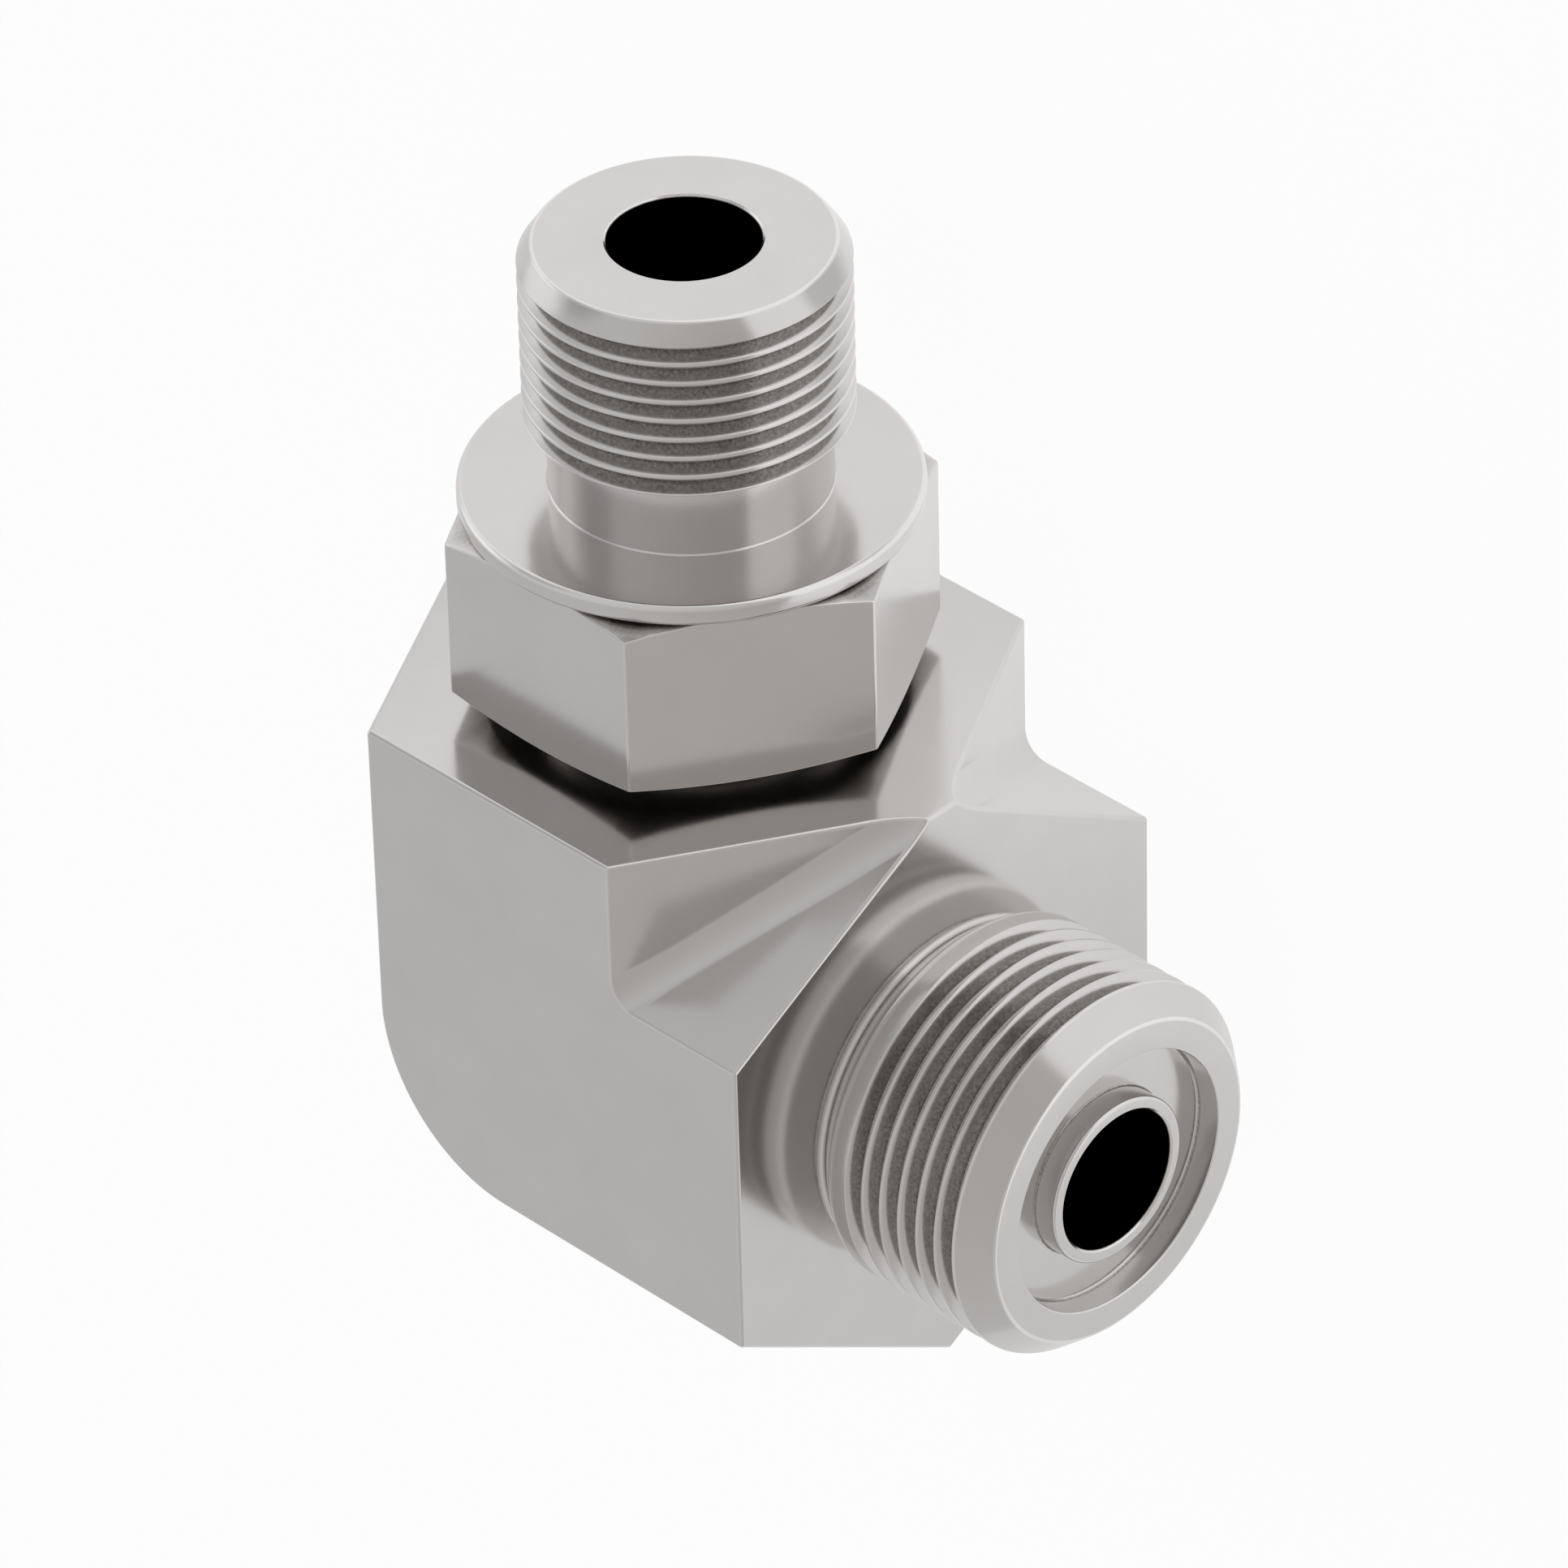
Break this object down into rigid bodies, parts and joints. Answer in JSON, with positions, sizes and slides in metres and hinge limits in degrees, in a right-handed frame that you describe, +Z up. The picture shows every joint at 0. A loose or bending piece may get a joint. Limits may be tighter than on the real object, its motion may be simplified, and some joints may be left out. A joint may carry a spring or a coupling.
{
  "type": "hydraulic elbow adapter fitting",
  "caption": "Ninety degree steel adapter elbow with a hexagon body, a threaded face seal tube end and an adjustable threaded stud end with lock nut and backup washer.",
  "frame": {"origin": "on the flat side the elbow lies on, straight below the crossing of its two bores", "axes": "+X along the tube end's axis out of its mouth, +Y along the stud end's axis out of its mouth, +Z up from the flat it lies on"},
  "size_m": [0.0461, 0.0598, 0.0296],
  "materials": {
    "plated_steel_body": "satin, zinc nickel plated",
    "plated_steel_nut": "satin, zinc nickel plated",
    "plated_steel_washer": "satin, zinc nickel plated"
  },
  "bodies": {
    "elbow": {"elbow_body": "plated_steel_body"},
    "washer": {"backup_washer": "plated_steel_washer"},
    "nut": {"lock_nut": "plated_steel_nut"}
  },
  "joints": [
    {"name": "washer_slide", "type": "slide", "parent": "elbow", "child": "washer", "axis": [0, 1, 0], "range_m": [-0.0009, 0.0039]},
    {"name": "nut_turn", "type": "hinge", "parent": "washer", "child": "nut", "pos_m": [0, 0.0227, 0.0148], "axis": [0, 1, 0], "range_deg": [-270, 1260]}
  ],
  "couplings": [
    {"joint": "washer_slide", "follows": "nut_turn", "m_per_rad": 0.00017348}
  ]
}
